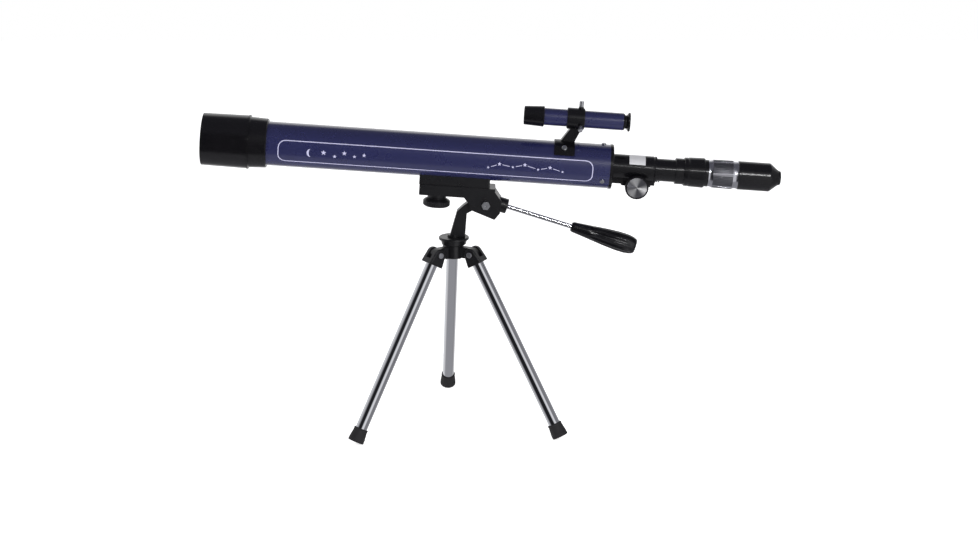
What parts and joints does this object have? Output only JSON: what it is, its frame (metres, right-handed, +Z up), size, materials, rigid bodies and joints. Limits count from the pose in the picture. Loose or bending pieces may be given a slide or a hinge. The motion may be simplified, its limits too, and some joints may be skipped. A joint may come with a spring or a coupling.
{
  "type": "tabletop refractor telescope",
  "caption": "Small refractor telescope with rack focuser, zoom eyepiece and finder, on a pan and tilt head with a folding tabletop tripod.",
  "frame": {"origin": "bottom centre of the bounding box, on the surface the feet stand on", "axes": "+X from the objective towards the eyepiece, +Y across the tube towards the back leg, +Z up"},
  "size_m": [0.738, 0.256, 0.4302],
  "materials": {
    "tube_paint": "deep blue gloss paint",
    "gloss_black": "moulded, glossy",
    "lens_glass": "polished and coated",
    "inner_black": "flat black",
    "chrome": "bright plated",
    "foil": "blank foil",
    "rack_plastic": "moulded",
    "brass": "machined",
    "knob_black": "moulded, satin",
    "spun_aluminium": "turned",
    "head_black": "satin black",
    "steel": "plated",
    "rubber": "moulded"
  },
  "bodies": {
    "tripod_hub": {"hub": "head_black", "pan_bolt": "steel", "leg_pins": "chrome"},
    "pan_ring": {"pan_lock_ring": "head_black"},
    "pan_head": {"neck": "head_black"},
    "tilt_head": {"tilt_block": "head_black", "tilt_bolt": "chrome", "tube_saddle": "head_black", "saddle_screws": "steel", "main_tube": "tube_paint", "tube_baffles": "inner_black", "tube_screws": "chrome", "objective_cell": "gloss_black", "objective_crown_lens": "lens_glass", "objective_flint_lens": "lens_glass", "objective_retainer": "inner_black", "focuser_body": "gloss_black", "foil_label": "foil", "pinion_cover": "gloss_black", "pinion_cover_screws": "chrome", "finder_bracket": "gloss_black", "shoe_screws": "chrome"},
    "handle": {"handle_rod": "chrome", "handle_grip": "knob_black"},
    "tilt_knob": {"tilt_lock_knob": "knob_black"},
    "camera_knob": {"camera_screw": "steel", "camera_screw_knob": "knob_black"},
    "shield": {"dew_shield": "gloss_black"},
    "focus_tube": {"drawtube": "gloss_black", "focus_rack": "rack_plastic", "drawtube_collar": "gloss_black"},
    "focus_drive": {"focus_pinion": "brass", "focus_knob_near": "knob_black", "focus_knob_far": "knob_black", "focus_knob_discs": "spun_aluminium"},
    "eyepiece": {"eyepiece_sleeve": "chrome", "eyepiece_body": "gloss_black", "eyepiece_field_lens": "lens_glass", "eyepiece_end": "gloss_black", "eyepiece_eye_lens": "lens_glass"},
    "zoom": {"zoom_ring": "spun_aluminium"},
    "zoom_optics": {"zoom_carrier": "inner_black", "zoom_lens": "lens_glass"},
    "finder": {"finder_tube": "tube_paint", "finder_hood": "gloss_black", "finder_objective": "lens_glass"},
    "finder_cup": {"finder_eyecup": "gloss_black", "finder_eye_lens": "lens_glass"},
    "thumbscrew_top": {"finder_thumbscrew_top": "chrome"},
    "thumbscrew_near": {"finder_thumbscrew_near": "chrome"},
    "thumbscrew_far": {"finder_thumbscrew_far": "chrome"},
    "leg_1": {"leg_bracket_1": "head_black", "leg_tube_1": "chrome", "leg_foot_1": "rubber"},
    "leg_2": {"leg_bracket_2": "head_black", "leg_tube_2": "chrome", "leg_foot_2": "rubber"},
    "leg_3": {"leg_bracket_3": "head_black", "leg_tube_3": "chrome", "leg_foot_3": "rubber"}
  },
  "joints": [
    {"name": "leg_1_fold", "type": "hinge", "parent": "tripod_hub", "child": "leg_1", "pos_m": [-0.07072, -0.04775, 0.234], "axis": [0.565, -0.8251, 0], "range_deg": [0, 28.5]},
    {"name": "leg_2_fold", "type": "hinge", "parent": "tripod_hub", "child": "leg_2", "pos_m": [-0.02357, -0.04412, 0.234], "axis": [0.4321, 0.9018, 0], "range_deg": [0, 28.5]},
    {"name": "leg_3_fold", "type": "hinge", "parent": "tripod_hub", "child": "leg_3", "pos_m": [-0.05029, -0.00511, 0.234], "axis": [-0.9971, -0.0767, 0], "range_deg": [0, 28.5]},
    {"name": "pan_turn", "type": "hinge", "parent": "tripod_hub", "child": "pan_head", "pos_m": [-0.04819, -0.03233, 0.25], "axis": [0, 0, 1], "continuous": true},
    {"name": "pan_lock_turn", "type": "hinge", "parent": "tripod_hub", "child": "pan_ring", "pos_m": [-0.04819, -0.03233, 0.25], "axis": [0, 0, 1], "range_deg": [-90, 90]},
    {"name": "tilt", "type": "hinge", "parent": "pan_head", "child": "tilt_head", "pos_m": [-0.0072, -0.03233, 0.29817], "axis": [0, 1, 0], "range_deg": [-15, 45]},
    {"name": "handle_twist", "type": "hinge", "parent": "tilt_head", "child": "handle", "pos_m": [0.02256, -0.03233, 0.29218], "axis": [0.9521, 0, -0.3057], "continuous": true},
    {"name": "tilt_lock_turn", "type": "hinge", "parent": "tilt_head", "child": "tilt_knob", "pos_m": [-0.0072, -0.03233, 0.29817], "axis": [0, 1, 0], "range_deg": [-180, 180]},
    {"name": "camera_screw_turn", "type": "hinge", "parent": "tilt_head", "child": "camera_knob", "pos_m": [-0.07008, -0.03233, 0.30056], "axis": [0.0698, 0, 0.9976], "continuous": true},
    {"name": "dew_shield_slide", "type": "slide", "parent": "tilt_head", "child": "shield", "axis": [-0.9976, 0, 0.0698], "range_m": [0, 0.04]},
    {"name": "focus_slide", "type": "slide", "parent": "tilt_head", "child": "focus_tube", "axis": [0.9976, 0, -0.0698], "range_m": [-0.023, 0.045]},
    {"name": "focus_knob_turn", "type": "hinge", "parent": "tilt_head", "child": "focus_drive", "pos_m": [0.18395, -0.03233, 0.3237], "axis": [0, 1, 0], "range_deg": [-700, 700]},
    {"name": "eyepiece_slide", "type": "slide", "parent": "focus_tube", "child": "eyepiece", "axis": [0.9976, 0, -0.0698], "range_m": [0, 0.03]},
    {"name": "zoom_turn", "type": "hinge", "parent": "eyepiece", "child": "zoom", "pos_m": [0.29462, -0.03233, 0.33521], "axis": [0.9976, 0, -0.0698], "range_deg": [0, 90]},
    {"name": "zoom_optics_slide", "type": "slide", "parent": "eyepiece", "child": "zoom_optics", "axis": [0.9976, 0, -0.0698], "range_m": [0, 0.02]},
    {"name": "finder_slide", "type": "slide", "parent": "tilt_head", "child": "finder", "axis": [0.9976, 0, -0.0698], "range_m": [-0.015, 0.015]},
    {"name": "finder_focus", "type": "hinge", "parent": "finder", "child": "finder_cup", "pos_m": [0.17005, -0.03233, 0.40306], "axis": [0.9976, 0, -0.0698], "range_deg": [-180, 180]},
    {"name": "thumbscrew_top_turn", "type": "hinge", "parent": "tilt_head", "child": "thumbscrew_top", "pos_m": [0.11279, -0.03233, 0.40707], "axis": [0.0698, 0, 0.9976], "continuous": true},
    {"name": "thumbscrew_near_turn", "type": "hinge", "parent": "tilt_head", "child": "thumbscrew_near", "pos_m": [0.11279, -0.03233, 0.40707], "axis": [-0.0349, -0.866, -0.4988], "continuous": true},
    {"name": "thumbscrew_far_turn", "type": "hinge", "parent": "tilt_head", "child": "thumbscrew_far", "pos_m": [0.11279, -0.03233, 0.40707], "axis": [-0.0349, 0.866, -0.4988], "continuous": true}
  ],
  "couplings": [
    {"joint": "focus_knob_turn", "follows": "focus_slide", "rad_per_m": 250},
    {"joint": "zoom_optics_slide", "follows": "zoom_turn", "m_per_rad": 0.011459}
  ]
}
